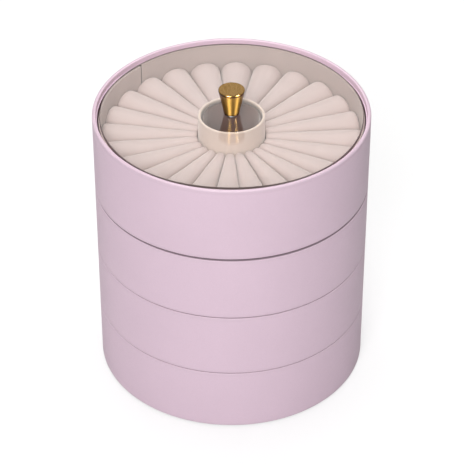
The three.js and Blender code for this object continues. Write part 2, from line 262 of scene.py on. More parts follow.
def felt_material(name, base):
    m = Mat(name)
    v = m.mapped()
    tangle = m.noise(1500.0, 6.0, 0.7, v, 1.2)
    blotch = m.noise(120.0, 3.0, 0.5, v)
    colour = m.mix(m.range(tangle, 0.3, 0.7, 0.0, 1.0), scaled(base, 0.84), scaled(base, 1.05))
    colour = m.mix(m.range(blotch, 0.35, 0.65, 0.0, 0.3), colour, scaled(base, 0.92))
    n = m.bump(tangle, 0.5, 0.0003)
    m.surface(Base__Color=colour, Roughness=m.range(blotch, 0.3, 0.7, 0.9, 1.0), Normal=n)
    m.shader.inputs["Sheen Weight"].default_value = 0.25
    return m.mat


def steel_material(name, base=(0.66, 0.67, 0.69, 1.0)):
    m = Mat(name)
    v = m.mapped(scale=(1, 1, 9))
    brush = m.noise(900.0, 4.0, 0.6, v)
    stain = m.noise(140.0, 3.0, 0.5)
    colour = m.mix(m.range(stain, 0.3, 0.7, 0.0, 1.0), scaled(base, 0.90), scaled(base, 1.04))
    n = m.bump(brush, 0.12, 0.00003)
    m.surface(Base__Color=colour, Roughness=m.range(brush, 0.3, 0.7, 0.24, 0.38), Normal=n)
    m.shader.inputs["Metallic"].default_value = 1.0
    return m.mat


def nylon_material(name):
    m = Mat(name)
    cloud = m.noise(300.0, 3.0, 0.5)
    colour = m.mix(cloud, (0.80, 0.79, 0.76, 1), (0.87, 0.86, 0.83, 1))
    n = m.bump(m.noise(1800.0, 2.0), 0.1, 0.00003)
    m.surface(Base__Color=colour, Roughness=m.range(cloud, 0.3, 0.7, 0.38, 0.5), Normal=n)
    m.shader.inputs["Subsurface Weight"].default_value = 0.15
    m.shader.inputs["Subsurface Scale"].default_value = 0.001
    return m.mat


def brass_material(name):
    """Turned brass: fine tool lines round the side, which draw reflections out upright."""
    m = Mat(name)
    z = m.node("SeparateXYZ", Vector=m.coord.outputs["Object"]).outputs[2]
    lines = m.node("TexNoise", _noise_dimensions="1D", W=z, Scale=6000.0, Detail=3.0).outputs["Fac"]
    haze = m.noise(900.0, 4.0, 0.6)
    colour = m.mix(m.range(haze, 0.3, 0.7, 0.0, 1.0), (0.34, 0.190, 0.040, 1), (0.39, 0.225, 0.054, 1))
    # painted reflection: bands under the head and round the foot are darkened, standing in for the dark reflections in
    # the rounded edges there
    head = m.math("MULTIPLY", m.range(z, 0.18890, 0.18920, 0.0, 1.0), m.range(z, 0.19030, 0.19045, 1.0, 0.0))
    foot = m.range(z, 0.17520, 0.17590, 1.0, 0.0)
    colour = m.mix(m.math("MAXIMUM", head, foot), colour, (0.13, 0.062, 0.018, 1))
    n = m.bump(lines, 0.10, 0.00002)
    tangent = m.nt.nodes.new("ShaderNodeTangent")
    tangent.direction_type, tangent.axis = "RADIAL", "Z"
    m.surface(Base__Color=colour, Roughness=m.range(lines, 0.3, 0.7, 0.33, 0.42), Normal=n, Tangent=tangent.outputs[0])
    m.shader.inputs["Metallic"].default_value = 1.0
    m.shader.inputs["Specular Tint"].default_value = (0.22, 0.13, 0.06, 1.0)
    m.shader.inputs["Coat Weight"].default_value = 0.7
    m.shader.inputs["Coat Roughness"].default_value = 0.12
    m.shader.inputs["Anisotropic"].default_value = 0.9
    m.shader.inputs["Anisotropic Rotation"].default_value = 0.25
    # mirrored in another surface it is a dull bronze, without the hard glints of the cards
    dull = m.node("BsdfDiffuse")
    dull.inputs["Color"].default_value = (0.42, 0.30, 0.20, 1.0)
    path = m.node("LightPath")
    mix = m.node("MixShader")
    m.nt.links.new(m.math("MULTIPLY", path.outputs["Is Glossy Ray"], 0.72), mix.inputs[0])
    m.nt.links.new(m.shader.outputs[0], mix.inputs[1])
    m.nt.links.new(dull.outputs[0], mix.inputs[2])
    m.nt.links.new(mix.outputs[0], m.out.inputs["Surface"])
    return m.mat


def brass_face_material(name):
    """The knob's top, faced off and brushed both ways, a little duller."""
    m = Mat(name)
    one = m.noise(2600.0, 3.0, 0.6, m.mapped(scale=(1, 0.12, 1), rotate=(0, 0, 0.7)))
    two = m.noise(2600.0, 3.0, 0.6, m.mapped(scale=(1, 0.12, 1), rotate=(0, 0, -0.8), move=(0.3, 0, 0)))
    hatch = m.math("MULTIPLY", m.math("ADD", one, two), 0.5)
    colour = m.mix(m.range(hatch, 0.4, 0.6, 0.0, 1.0), (0.31, 0.185, 0.053, 1), (0.48, 0.315, 0.124, 1))
    n = m.bump(hatch, 0.35, 0.00004)
    m.surface(Base__Color=colour, Roughness=m.range(hatch, 0.35, 0.65, 0.34, 0.22), Normal=n)
    m.shader.inputs["Metallic"].default_value = 1.0
    return m.mat


def acrylic_material(name):
    """Clear acrylic. Lamps shine straight through it, so that it throws no dark shadow."""
    m = Mat(name)
    smear = m.noise(28.0, 3.0, 0.5)
    p = m.node("BsdfPrincipled", Roughness=m.range(smear, 0.4, 0.7, 0.0, 0.035))
    p.inputs["Base Color"].default_value = (0.985, 0.99, 0.99, 1.0)
    p.inputs["Transmission Weight"].default_value = 1.0
    p.inputs["IOR"].default_value = 1.49
    clear = m.node("BsdfTransparent")
    clear.inputs["Color"].default_value = (0.93, 0.935, 0.935, 1.0)
    path = m.node("LightPath")
    mix = m.node("MixShader")
    m.nt.links.new(path.outputs["Is Shadow Ray"], mix.inputs[0])
    m.nt.links.new(p.outputs[0], mix.inputs[1])
    m.nt.links.new(clear.outputs[0], mix.inputs[2])
    m.nt.links.new(mix.outputs[0], m.out.inputs["Surface"])
    return m.mat


def acrylic_edge_material(name):
    """The disc's edge band with faint saw marks, painted dark: a painted shade standing in for the dark line round the
    lid's rim, deeper at the front and back than at the sides.
    """
    m = Mat(name)
    saw = m.noise(1400.0, 3.0, 0.6, m.mapped(scale=(1, 1, 0.2)))
    y = m.node("SeparateXYZ", Vector=m.coord.outputs["Object"]).outputs[1]
    dark = m.mix(m.range(saw, 0.3, 0.7, 0.0, 1.0), srgb(120, 99, 98), srgb(146, 122, 122))
    pale = m.mix(m.range(saw, 0.3, 0.7, 0.0, 1.0), srgb(150, 136, 134), srgb(182, 168, 165))
    colour = m.mix(m.range(y, -0.0775, -0.066, 1.0, 0.0), pale, dark)
    n = m.bump(saw, 0.15, 0.00003)
    m.surface(Base__Color=colour, Roughness=m.range(saw, 0.3, 0.7, 0.22, 0.40), Normal=n)
    return m.mat


PINK = srgb(230, 204, 220)
BEIGE = srgb(198, 181, 175)
ROLL = srgb(208, 189, 184)
TAUPE = srgb(148, 122, 116)

LEATHER = [leather_material("pu_leather_%d" % k, PINK, 0.31 * k + 0.1) for k in range(4)]
LINING = velvet_material("velvet_lining", BEIGE, 0.2, stretch=(1, 1, 0.35), sheen=0.2)
FLOOR_VELVET = velvet_material("velvet_floor", BEIGE, 0.9)
ROLL_VELVET = velvet_material("velvet_roll", ROLL, 1.4, nap=0.035)
COLLAR_VELVET = velvet_material("velvet_collar", srgb(231, 212, 199), 2.1, nap=0.035)
WELL_VELVET = velvet_material("velvet_well", TAUPE, 2.8, stretch=(1, 1, 0.4))
BOARD = board_material("papered_board", srgb(196, 176, 160))
FELT = felt_material("felt_base", srgb(198, 188, 186))
STEEL = steel_material("zinc_steel")
NYLON = nylon_material("nylon")
BRASS = brass_material("turned_brass")
BRASS_FACE = brass_face_material("cut_brass")
ACRYLIC = acrylic_material("clear_acrylic")
ACRYLIC_EDGE = acrylic_edge_material("acrylic_edge")


# ------------------------------------------------------------- mesh building
def make(name, verts, faces, material, body, replaces=(), sharp=40, attrs=None, second=None, where=None):
    """A mesh object from points in millimetres, riding a body of the frame. second is the finish of the faces that where picks."""
    me = bpy.data.meshes.new(name)
    me.from_pydata([(x * MM, y * MM, z * MM) for x, y, z in verts], [], faces)
    me.validate()
    for key, values in (attrs or {}).items():
        a = me.attributes.new(key, "FLOAT", "POINT")
        a.data.foreach_set("value", np.asarray(values, np.float32))
    bm = bmesh.new()
    bm.from_mesh(me)
    bmesh.ops.recalc_face_normals(bm, faces=bm.faces)
    bm.to_mesh(me)
    bm.free()
    me.polygons.foreach_set("use_smooth", [True] * len(me.polygons))
    me.set_sharp_from_angle(angle=sharp * DEG)
    me.materials.append(material)
    if second is not None:
        me.materials.append(second)
        me.polygons.foreach_set("material_index", [1 if where(p.center / MM) else 0 for p in me.polygons])
    me.update()
    o = bpy.data.objects.new(name, me)
    scene.collection.objects.link(o)
    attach(o, body)
    if replaces:
        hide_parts(*replaces)
    return o


def grid_faces(m, n, wrap_m=True, wrap_n=True):
    """Quads of an m by n grid of points, each way round or open."""
    faces = []
    for i in range(m if wrap_m else m - 1):
        i2 = (i + 1) % m
        for j in range(n if wrap_n else n - 1):
            j2 = (j + 1) % n
            faces.append((i * n + j, i2 * n + j, i2 * n + j2, i * n + j2))
    return faces


def ring(section, azimuths, centre=(0, 0), closed=True):
    """Points and faces of a section [(r, z, ...)] carried round the vertical axis."""
    verts, rows = [], []
    for a in azimuths:
        pts = section(a)
        c, s = math.cos(a * DEG), math.sin(a * DEG)
        for p in pts:
            verts.append((centre[0] + p[0] * c, centre[1] + p[0] * s, p[1]))
        rows.append(len(pts))
    n = rows[0]
    faces = grid_faces(len(azimuths), n, closed, True)
    if not closed:
        faces.append(tuple(range(n)))
        last = (len(azimuths) - 1) * n
        faces.append(tuple(range(last, last + n)))
    return verts, faces


def turned(profile, seg, centre=(0, 0)):
    """Points and faces of a profile from axis to axis turned about the vertical."""
    verts, faces, rows = [], [], []
    for r, z in profile:
        if r < 1e-6:
            rows.append([len(verts)] * seg)
            verts.append((centre[0], centre[1], z))
        else:
            rows.append(list(range(len(verts), len(verts) + seg)))
            for i in range(seg):
                a = 2 * math.pi * i / seg
                verts.append((centre[0] + r * math.cos(a), centre[1] + r * math.sin(a), z))
    for a, b in zip(rows, rows[1:]):
        for i in range(seg):
            j = (i + 1) % seg
            f = [a[i], a[j], b[j], b[i]]
            f = [v for k, v in enumerate(f) if v != f[k - 1]]
            if len(f) > 2:
                faces.append(tuple(f))
    return verts, faces


def arc(cx, cz, r, a0, a1, n):
    return [
        (cx + r * math.cos((a0 + (a1 - a0) * i / n) * DEG), cz + r * math.sin((a0 + (a1 - a0) * i / n) * DEG))
        for i in range(n + 1)
    ]


def line(a, b, n):
    """Points from a to b, leaving both ends out."""
    return [(a[0] + (b[0] - a[0]) * i / n, a[1] + (b[1] - a[1]) * i / n) for i in range(1, n)]


def ripple(x, y, z, scale, seed=0.0):
    return noise.noise(Vector((x * scale + seed, y * scale - seed, z * scale + 2 * seed)))


def smooth(t):
    t = min(1.0, max(0.0, t))
    return t * t * (3 - 2 * t)


def turn_of(a, b):
    """Signed degrees from azimuth b to azimuth a."""
    return (a - b + 180) % 360 - 180


# ------------------------------------------------------------------ leather walls
def leather_wall(k, top_r):
    z0, z1 = WALLS[k]
    rb = 0.45
    outer_low = arc(R_OUT - rb, z0 + rb, rb, -90, 0, 6)
    outer_top = arc(R_OUT - top_r, z1 - top_r, top_r, 0, 90, 12)
    if k == 3:
        inner_top = arc(R_RIM + 0.75, z1 - 0.75, 0.75, 90, 180, 8)
        # the sheet is turned in over the mouth and down on to the ledge
        foot = z1 - LEDGE
        inner = (
            line(inner_top[-1], (R_RIM, foot + 0.2), 5)
            + arc(R_RIM - 0.2, foot + 0.2, 0.2, 0, -90, 3)
            + [(R_RIM - 0.5, foot)]
            + arc(R_IN + 0.15, foot - 0.15, 0.15, 90, 180, 3)
        )
    else:
        inner_top = arc(R_IN + 0.6, z1 - 0.6, 0.6, 90, 180, 6)
        inner = []
    low = (inner or inner_top)[-1]
    section = (
        outer_low
        + line(outer_low[-1], outer_top[0], 22)
        + outer_top
        + inner_top
        + inner
        + line(low, (R_IN, z0 + 0.2), 12)
        + [(R_IN, z0 + 0.2), (R_IN + 0.3, z0)]
    )
    lap = 96.0 + (3.1, -2.4, 1.6, -1.2)[k]  # where the sheet's two ends lap, at the back
    azimuths = [i * 1.25 for i in range(288)]
    for d in (-0.16, -0.05, 0.0, 0.05, 0.35, 0.8):
        azimuths.append((lap + d) % 360)
    azimuths = sorted(set(azimuths))
    edge_values, inside_values = [], []

    def at(a):
        pts = []
        d = turn_of(a, lap)
        # the stack leans a hair about its bolt, so the joint under the top tray opens towards the front right
        open_up = (0, 0.10, 0.22, 0.75)[k] * smooth((1 - math.cos((a - PIVOT_AZ) * DEG)) / 2)
        for r, z in section:
            out = smooth((r - R_RIM) / 1.5)
            # the outer end of the sheet lies over the inner one and ends in a clean step
            step = 0.32 * (smooth((d + 0.10) / 0.12)) * (1 - smooth((d - 1.0) / 7.0))
            x, y = r * math.cos(a * DEG), r * math.sin(a * DEG)
            wav = 0.05 * ripple(x, y, z, 0.045, 3.0 + k) + 0.020 * ripple(x, y, z, 0.16, 9.0 + k)
            near_top = smooth(1 - abs(z - z1) / 2.2)
            near_low = smooth(1 - abs(z - z0) / 1.6)
            dz = 0.05 * near_top * ripple(x, y, 0, 0.06, 5.0 + k)
            dz += open_up * smooth(1 - (z - z0) / 14.0)
            pts.append((r + out * (step + wav - 0.05), z + dz))
            # painted shade: "edge" marks the rolled rim and the lower edges, which the leather darkens in colour (and
            # makes a little glossier)
            edge_values.append(max((1.0 if k == 3 else 0.4) * near_top * smooth((r - (R_RIM if k == 3 else R_IN)) / 1.2), 0.25 * near_low * out))
            # painted shade: the glued-down part inside and the edges that only show between two trays are darkened,
            # standing in for the shade in the gap and the joints
            hidden = smooth((R_IN + 0.35 - r) / 0.2) if z < z1 - 0.55 else 0.0
            if k < 3 and z > z1 - 0.3:
                hidden = max(hidden, (0.3, 0.3, 0.45)[k] * smooth((R_OUT - 0.16 - r) / 0.22))
            if k and z < z0 + 0.12:
                hidden = max(hidden, (0, 0.55, 0.55, 1.0)[k] * smooth((R_OUT - 0.20 - r) / 0.15))
            inside_values.append(hidden)
        return pts

    verts, faces = ring(at, azimuths)
    return make(
        TRAYS[k] + "_leather_wall",
        verts,
        faces,
        LEATHER[k],
        TRAYS[k],
        [TRAYS[k] + "_wall"],
        attrs={"edge": edge_values, "inside": inside_values},
    )


for k in range(4):
    leather_wall(k, 1.3 if k == 3 else 0.7)


# ----------------------------------------------------------------- velvet linings
def strip_section(ri, ro, z0, z1, r_top, lean=0.0, n_side=14):
    """A card strip wrapped in velvet, with a rolled top edge. lean moves its top inwards."""
    rt = min(r_top, (ro - ri) / 2 - 0.02)
    pts = arc(ro - 0.25, z0 + 0.25, 0.25, -90, 0, 2)
    top_out = arc(ro - rt, z1 - rt, rt, 0, 90, 4)
    top_in = arc(ri + rt, z1 - rt, rt, 90, 180, 4)
    pts += line(pts[-1], top_out[0], n_side) + top_out + top_in
    pts += line(top_in[-1], (ri, z0 + 0.3), n_side) + [(ri, z0 + 0.3), (ri + 0.3, z0)]
    return pts


def wall_lining(k, z1):
    z0 = BOARD_TOP[k] + 0.1
    base = strip_section(R_LIN_IN, R_LIN_OUT, z0, z1, 0.55)
    near, far = 0.15, 0.85  # degrees from the joint to each end of the strip
    span = 360 - near - far
    azimuths = [SEAM_AZ + near + span * i / 300 for i in range(301)]
    azimuths = sorted(azimuths + [SEAM_AZ + near + d for d in (0.12, 0.3, 0.6)] + [SEAM_AZ + 360 - far - d for d in (0.12, 0.3, 0.6)])

    def at(a):
        start = a - SEAM_AZ - near  # from the free end, which springs away from the wall
        end = SEAM_AZ + 360 - far - a
        spring = (0.6 if k == 3 else 0.4) * (1 - smooth(start / (62 if k == 3 else 25)))
        tuck = smooth(min(start, end) / 0.5)
        pts = []
        for r, z in base:
            up = smooth((z - z0 - 6) / (z1 - z0 - 6)) if k == 3 else 1.0
            x, y = r * math.cos(a * DEG), r * math.sin(a * DEG)
            wav = 0.06 * ripple(x, y, z, 0.07, 11.0 + k)
            mid = (R_LIN_IN + R_LIN_OUT) / 2
            rr = mid + (r - mid) * (0.72 + 0.28 * tuck)
            dz = 0.07 * ripple(x, y, 0, 0.10, 2.0 + k) * smooth((z - z1 + 4) / 4) - 0.25 * (1 - tuck) * smooth((z - z1 + 3) / 3)
            pts.append((rr - spring * up + wav * 0.6 - 0.03, z + dz))
        return pts

    verts, faces = ring(at, azimuths, closed=False)
    return make(
        TRAYS[k] + "_velvet_lining",
        verts,
        faces,
        LINING,
        TRAYS[k],
        [TRAYS[k] + "_wall_lining"],
    )


for k in range(3):
    wall_lining(k, WALLS[k][1] - 1.2)
wall_lining(3, LID_Z - 0.3)


# ------------------------------------------------------------ floor pads and posts
def floor_pad(k):
    """A velvet pad over thin foam, cut out round the pivot post, with a soft edge."""
    z0 = BOARD_TOP[k] + 0.1
    notch = 8.1
    azimuths, edge = [], []
    a = 0.0
    limit = math.degrees(math.asin(notch / PIVOT_D))
    while a < 360:
        d = abs(turn_of(a, PIVOT_AZ))
        azimuths.append(a)
        a += 0.25 if d < limit + 1.0 else 1.5
    for a in azimuths:
        d = turn_of(a, PIVOT_AZ) * DEG
        s = PIVOT_D * math.sin(d)
        if abs(s) < notch and abs(d) < 1.0:
            edge.append(PIVOT_D * math.cos(d) - math.sqrt(notch**2 - s * s))
        else:
            edge.append(R_PAD - 0.1)
    # rings from the underside's centre, round the rim, to the top's centre
    rings = [(0.5, 0.0, 0), (0.985, 0.0, 0.6), (1, 0.12, 0.25)]
    rings += [(1, 0.5, 0.0), (1, 1.0, 0.12), (1, 1.35, 0.45), (1, 1.52, 1.0), (1, 1.6, 2.0)]
    rings += [(1, 1.63, 4.0), (0.9, 1.66, 0), (0.75, 1.7, 0), (0.55, 1.72, 0), (0.35, 1.74, 0), (0.15, 1.74, 0)]
    verts, n = [(0, 0, z0)], len(azimuths)
    for share, up, inset in rings:
        for a, e in zip(azimuths, edge):
            r = (e - inset) * share
            x, y = r * math.cos(a * DEG), r * math.sin(a * DEG)
            lift = 0.0
            if up > 1.5:
                lift = 0.10 * ripple(x, y, 0, 0.035, 4.0 + k) + 0.05 * ripple(x, y, 0, 0.11, 8.0 + k)
            verts.append((x, y, z0 + up * 1.0 - 0.06 + lift if up > 0 else z0))
    verts.append((0, 0, z0 + 1.68))
    faces = []
    for i in range(n):
        faces.append((0, 1 + (i + 1) % n, 1 + i))
    for j in range(len(rings) - 1):
        for i in range(n):
            i2 = (i + 1) % n
            p, q = 1 + j * n, 1 + (j + 1) * n
            faces.append((p + i, p + i2, q + i2, q + i))
    last = 1 + (len(rings) - 1) * n
    for i in range(n):
        faces.append((last + i, last + (i + 1) % n, len(verts) - 1))
    o = make(
        TRAYS[k] + "_velvet_floor",
        verts,
        faces,
        FLOOR_VELVET,
        TRAYS[k],
        [TRAYS[k] + "_floor_pad"],
    )
    return o


def velvet_post(k):
    z0, z1 = BOARD_TOP[k] + 0.1, POST_TOP[k]
    bore, r = 3.45, 7.55
    outer = arc(r - 0.9, z1 - 0.9, 0.9, 0, 90, 6)
    inner = arc(bore + 0.5, z1 - 0.5, 0.5, 90, 180, 4)
    base = (
        arc(r - 0.3, z0 + 0.3, 0.3, -90, 0, 3)
        + line((r, z0 + 0.3), outer[0], 10)
        + outer
        + inner
        + line(inner[-1], (bore, z0), 6)
        + [(bore, z0)]
    )

    def at(a):
        pts = []
        for rr, z in base:
            seam = 0.22 * math.exp(-((turn_of(a, 133.6) / 4.0) ** 2)) if rr > 6 else 0
            pts.append((rr - seam + 0.03 * ripple(a * 0.1, z, 0, 0.3, k) * (rr > 6), z))
        return pts

    verts, faces = ring(at, [i * 4.0 for i in range(90)], centre=PIVOT)
    return make(
        TRAYS[k] + "_velvet_post",
        verts,
        faces,
        FLOOR_VELVET,
        TRAYS[k],
        [TRAYS[k] + "_pivot_post"],
    )


for k in range(3):
    floor_pad(k)
    velvet_post(k)


# --------------------------------------------------------------------- dividers
def divider(name, node, body, length, z0, z1, turn=0.0, move=(0, 0)):
    """A card divider wrapped in velvet: soft top edge, slightly bowed faces."""
    h, rt, rb = 1.5, 1.15, 0.35
    top = arc(h - rt, z1 - rt, rt, 0, 90, 6)
    half = arc(h - rb, z0 + rb, rb, -90, 0, 2) + line((h, z0 + rb), top[0], 12) + top
    section = half + [(-y, z) for y, z in reversed(half)]
    n, stations = len(section), []
    ends = 0.9
    xs = [-length / 2 + ends * (1 - math.cos(t * 15 * DEG)) for t in range(0, 6)]
    xs += list(np.linspace(-length / 2 + ends, length / 2 - ends, 60))
    xs += [length / 2 - ends * (1 - math.cos(t * 15 * DEG)) for t in range(5, -1, -1)]
    verts = []
    c, s = math.cos(turn * DEG), math.sin(turn * DEG)
    for x in xs:
        d = min(x + length / 2, length / 2 - x)
        pinch = 1.0 if d >= ends else 0.55 + 0.45 * math.sqrt(max(0.0, 1 - (1 - d / ends) ** 2))
        for y, z in section:
            yy = y * pinch + 0.10 * ripple(x, 0, z, 0.03, 6.0) + 0.04 * ripple(x, y, z, 0.12, 1.0)
            zz = z + 0.12 * ripple(x, 0, 0, 0.05, 7.0) * smooth((z - z1 + 5) / 5) - (1 - pinch) * 0.9 * smooth((z - z1 + 5) / 5)
            verts.append((x * c - yy * s + move[0], x * s + yy * c + move[1], zz))
    faces = grid_faces(len(xs), n, False, True)
    faces.append(tuple(range(n)))
    last = (len(xs) - 1) * n
    faces.append(tuple(range(last, last + n)))
    return make(name, verts, faces, FLOOR_VELVET, body, [node])


PAD_TOP = [z + 1.7 for z in BOARD_TOP]
divider("third_tray_velvet_divider", "third_tray_divider", "third_tray", 153.6, PAD_TOP[1] + 0.1, WALLS[1][1] - 3.0)
divider("second_tray_velvet_long_divider", "second_tray_long_divider", "second_tray", 153.6, PAD_TOP[2] + 0.1, WALLS[2][1] - 3.0)
divider(
    "second_tray_velvet_short_divider",
    "second_tray_short_divider",
    "second_tray",
    75.0,
    PAD_TOP[2] + 0.1,
    WALLS[2][1] - 3.0,
    90.0,
    (0, -1.7 - 75.1 / 2),
)


# -------------------------------------------------------------------- ring rolls
N_ROLLS, ROLL_AZ = 24, 87.7
ROLL_IN, ROLL_OUT = 20.6, 77.3
ROLL_FLAT = H_CASE - 28.9


def roll_mesh(i):
    """One foam roll in velvet: a tapered round-backed pad, domed at its outer end."""
    rng = np.random.default_rng(100 + i)
    crown_jit, tilt, fat = rng.normal(0, 0.16), rng.normal(0, 0.10), 1 + rng.normal(0, 0.006)
    az = ROLL_AZ + 15.0 * i + rng.normal(0, 0.10)
    stations = [0.0, 0.25, 0.6, 1.0, 1.6]
    stations += list(np.linspace(2.6, ROLL_OUT - ROLL_IN - 3.8, 28))
    dome = 2.8
    stations += [ROLL_OUT - ROLL_IN - dome + dome * math.sin(t * 90 / 11 * DEG) for t in range(0, 12)]
    n_top = 30
    verts, crease = [], []
    pulls = [(rng.uniform(4, 50), rng.uniform(-1, 1), rng.uniform(5, 14), rng.uniform(0.10, 0.22)) for _ in range(3)]
    rows = 0
    for t in stations:
        s = ROLL_IN + t
        to_end = ROLL_OUT - s
        inset = 0.0
        if to_end < dome:
            inset = 1.9 * (1 - math.sqrt(max(0.0, 1 - (1 - to_end / dome) ** 2)))
        if t < 1.6:
            inset = 0.7 * (1 - math.sqrt(max(0.0, 1 - (1 - t / 1.6) ** 2)))
        share = (s - ROLL_IN) / (ROLL_OUT - ROLL_IN)
        w = (s * math.tan(7.5 * DEG) - 0.10) * fat - inset
        crown = H_CASE - 17.3 + 2.8 * share + crown_jit * share - inset * 1.15
        crown += 0.25 * math.sin(math.pi * share)
        low = ROLL_FLAT + min(inset, 1.0)
        h = min(w * 1.02, crown - low - 1.0)
        shoulder = crown - h
        pts = []
        for j in range(n_top + 1):
            phi = math.pi * j / n_top
            c, sn = math.cos(phi), math.sin(phi)
            e = 2 / 2.15
            pts.append((w * math.copysign(abs(c) ** e, c), shoulder + h * abs(sn) ** e))
        rb = min(1.2, w * 0.5)
        drop = shoulder - low - rb
        left = [(-w, shoulder - drop * f) for f in (0.33, 0.66, 1.0)]
        left += [(-w + rb * (1 - math.cos(b * DEG)), low + rb * (1 - math.sin(b * DEG))) for b in (30, 60, 90)]
        right = [(-y, z) for y, z in reversed(left)]
        pts += left + [(0.0, low)] + right
        rows = len(pts)
        for y, z in pts:
            top = smooth((z - shoulder) / max(h, 1e-3) * 1.5)
            d = 0.13 * ripple(s, y, z, 0.09, 3.1 * i) + 0.06 * ripple(s, y, z, 0.28, 1.7 * i)
            # shallow drag lines, where the cloth is pulled along the roll
            for at_t, side, reach, deep in pulls:
                line_y = side * w * (0.55 + 0.35 * (t - at_t) / 30)
                d -= deep * math.exp(-(((y - line_y) / 0.55) ** 2) - ((t - at_t) / reach) ** 2)
            grow = top * d
            # painted shade: "crease" grows down the flanks into the valleys between rolls and near the outer end, where
            # the colour is darkened
            crease.append((1 - smooth((z - shoulder) / (0.62 * h))) * smooth((t - 1) / 6) * 0.8 + 0.25 * (1 - smooth(to_end / 1.6)))
            verts.append((s, y * (1 + grow / max(w, 3)) + tilt * top * share, z + grow))
    n = rows
    faces = grid_faces(len(stations), n, False, True)
    # end caps: a ring pulled in, then a centre
    for base, s_out, sign in ((0, ROLL_IN - 0.05, -1), ((len(stations) - 1) * n, ROLL_OUT + 0.25, 1)):
        loop = [verts[base + j] for j in range(n)]
        cy = 0.0
        cz = sum(p[2] for p in loop) / n
        inner = []
        # painted shade: the end caps' points get a middling "crease" value, so they are darkened too
        for f, push in ((0.80, 0.55), (0.45, 0.9)):
            start = len(verts)
            for p in loop:
                crease.append(0.6)
                verts.append(
                    (
                        p[0] + (s_out - p[0]) * push,
                        cy + (p[1] - cy) * f,
                        cz + (p[2] - cz) * f,
                    )
                )
            inner.append(start)
        centre = len(verts)
        verts.append((s_out, cy, cz))
        crease.append(0.6)
        rings = [base] + inner
        for a, b in zip(rings, rings[1:]):
            for j in range(n):
                j2 = (j + 1) % n
                faces.append((a + j, a + j2, b + j2, b + j))
        for j in range(n):
            faces.append((rings[-1] + j, rings[-1] + (j + 1) % n, centre))
    c, sn = math.cos(az * DEG), math.sin(az * DEG)
    placed = [(x * c - y * sn, x * sn + y * c, z) for x, y, z in verts]
    o = make(
        "velvet_ring_roll_%02d" % (i + 1),
        placed,
        faces,
        ROLL_VELVET,
        "top_tray",
        ["ring_roll_%02d" % (i + 1)],
        sharp=70,
        attrs={"crease": crease},
    )
    return o


for i in range(N_ROLLS):
    roll_mesh(i)


# ---------------------------------------------------------------- centre collar
def collar():
    ro, ri = 19.9, 18.3
    z0, z1 = BOARD_TOP[3] + 0.1, LID_Z - 0.3
    rt = 0.78
    top_out = arc(ro - rt, z1 - rt, rt, 0, 90, 8)
    top_in = arc(ri + rt, z1 - rt, rt, 90, 180, 8)
    base = [(ro, z0)] + line((ro, z0), top_out[0], 30) + top_out + top_in
    base += line(top_in[-1], (ri, z0), 18) + [(ri, z0)]
    seam = 62.0

    def at(a):
        pts = []
        d = turn_of(a, seam)
        dip = math.exp(-((d / 1.3) ** 2))
        for r, z in base:
            x, y = r * math.cos(a * DEG), r * math.sin(a * DEG)
            out = smooth((r - ri) / 1.2)
            wav = 0.05 * ripple(x, y, z, 0.12, 5.5)
            pts.append((r - 0.20 * dip * out + wav * out, z + 0.06 * ripple(x, y, 0, 0.15, 1.5) * smooth((z - z1 + 4) / 4)))
        return pts

    azimuths = sorted(set([i * 2.5 for i in range(144)] + [seam + d for d in (-2, -1.3, -0.7, -0.3, 0, 0.3, 0.7, 1.3, 2)]))
    verts, faces = ring(at, azimuths)
    # painted shade: below its rolled rim the inside of the tube is darkened, standing in for the shade there
    shade = [smooth((ri + 0.5 - math.hypot(x, y)) / 0.3) * smooth((z1 - 0.7 - z) / 0.4) for x, y, z in verts]
    return make("velvet_collar", verts, faces, COLLAR_VELVET, "top_tray", ["center_collar"], attrs={"inside": shade})


def well():
    seam = 144.0
    z0, z1 = BOARD_TOP[3] + 1.8, H_CASE - 6.0
    base = strip_section(17.0, 18.1, z0, z1, 0.5, n_side=12)
    azimuths = [seam + 0.9 + (360 - 1.8) * i / 120 for i in range(121)]

    def at(a):
        lift = 0.28 * (1 - smooth((a - seam) / 40))
        return [
            (r - lift * smooth((z - z0) / (z1 - z0)) + 0.04 * ripple(r * math.cos(a * DEG), r * math.sin(a * DEG), z, 0.15, 2.2), z)
            for r, z in base
        ]

    verts, faces = ring(at, azimuths, closed=False)
    # painted shade: a dark line along the top of the well lining, standing in for the shade in the gap under the collar
    edge = [smooth((z - z1 + 0.55) / 0.3) for x, y, z in verts]
    make("velvet_well_lining", verts, faces, WELL_VELVET, "top_tray", ["well_lining"], attrs={"inside": edge})
    zf = BOARD_TOP[3] + 0.1
    profile = [(0, zf), (17.6, zf), (17.95, zf + 0.3), (17.95, zf + 0.9), (17.6, zf + 1.35), (16.8, zf + 1.58)]
    profile += [(14, zf + 1.66), (10, zf + 1.7), (5, zf + 1.72), (0, zf + 1.72)]
    verts, faces = turned(profile, 96)
    o = make("velvet_well_floor", verts, faces, WELL_VELVET, "top_tray", ["well_floor_pad"])


collar()
well()


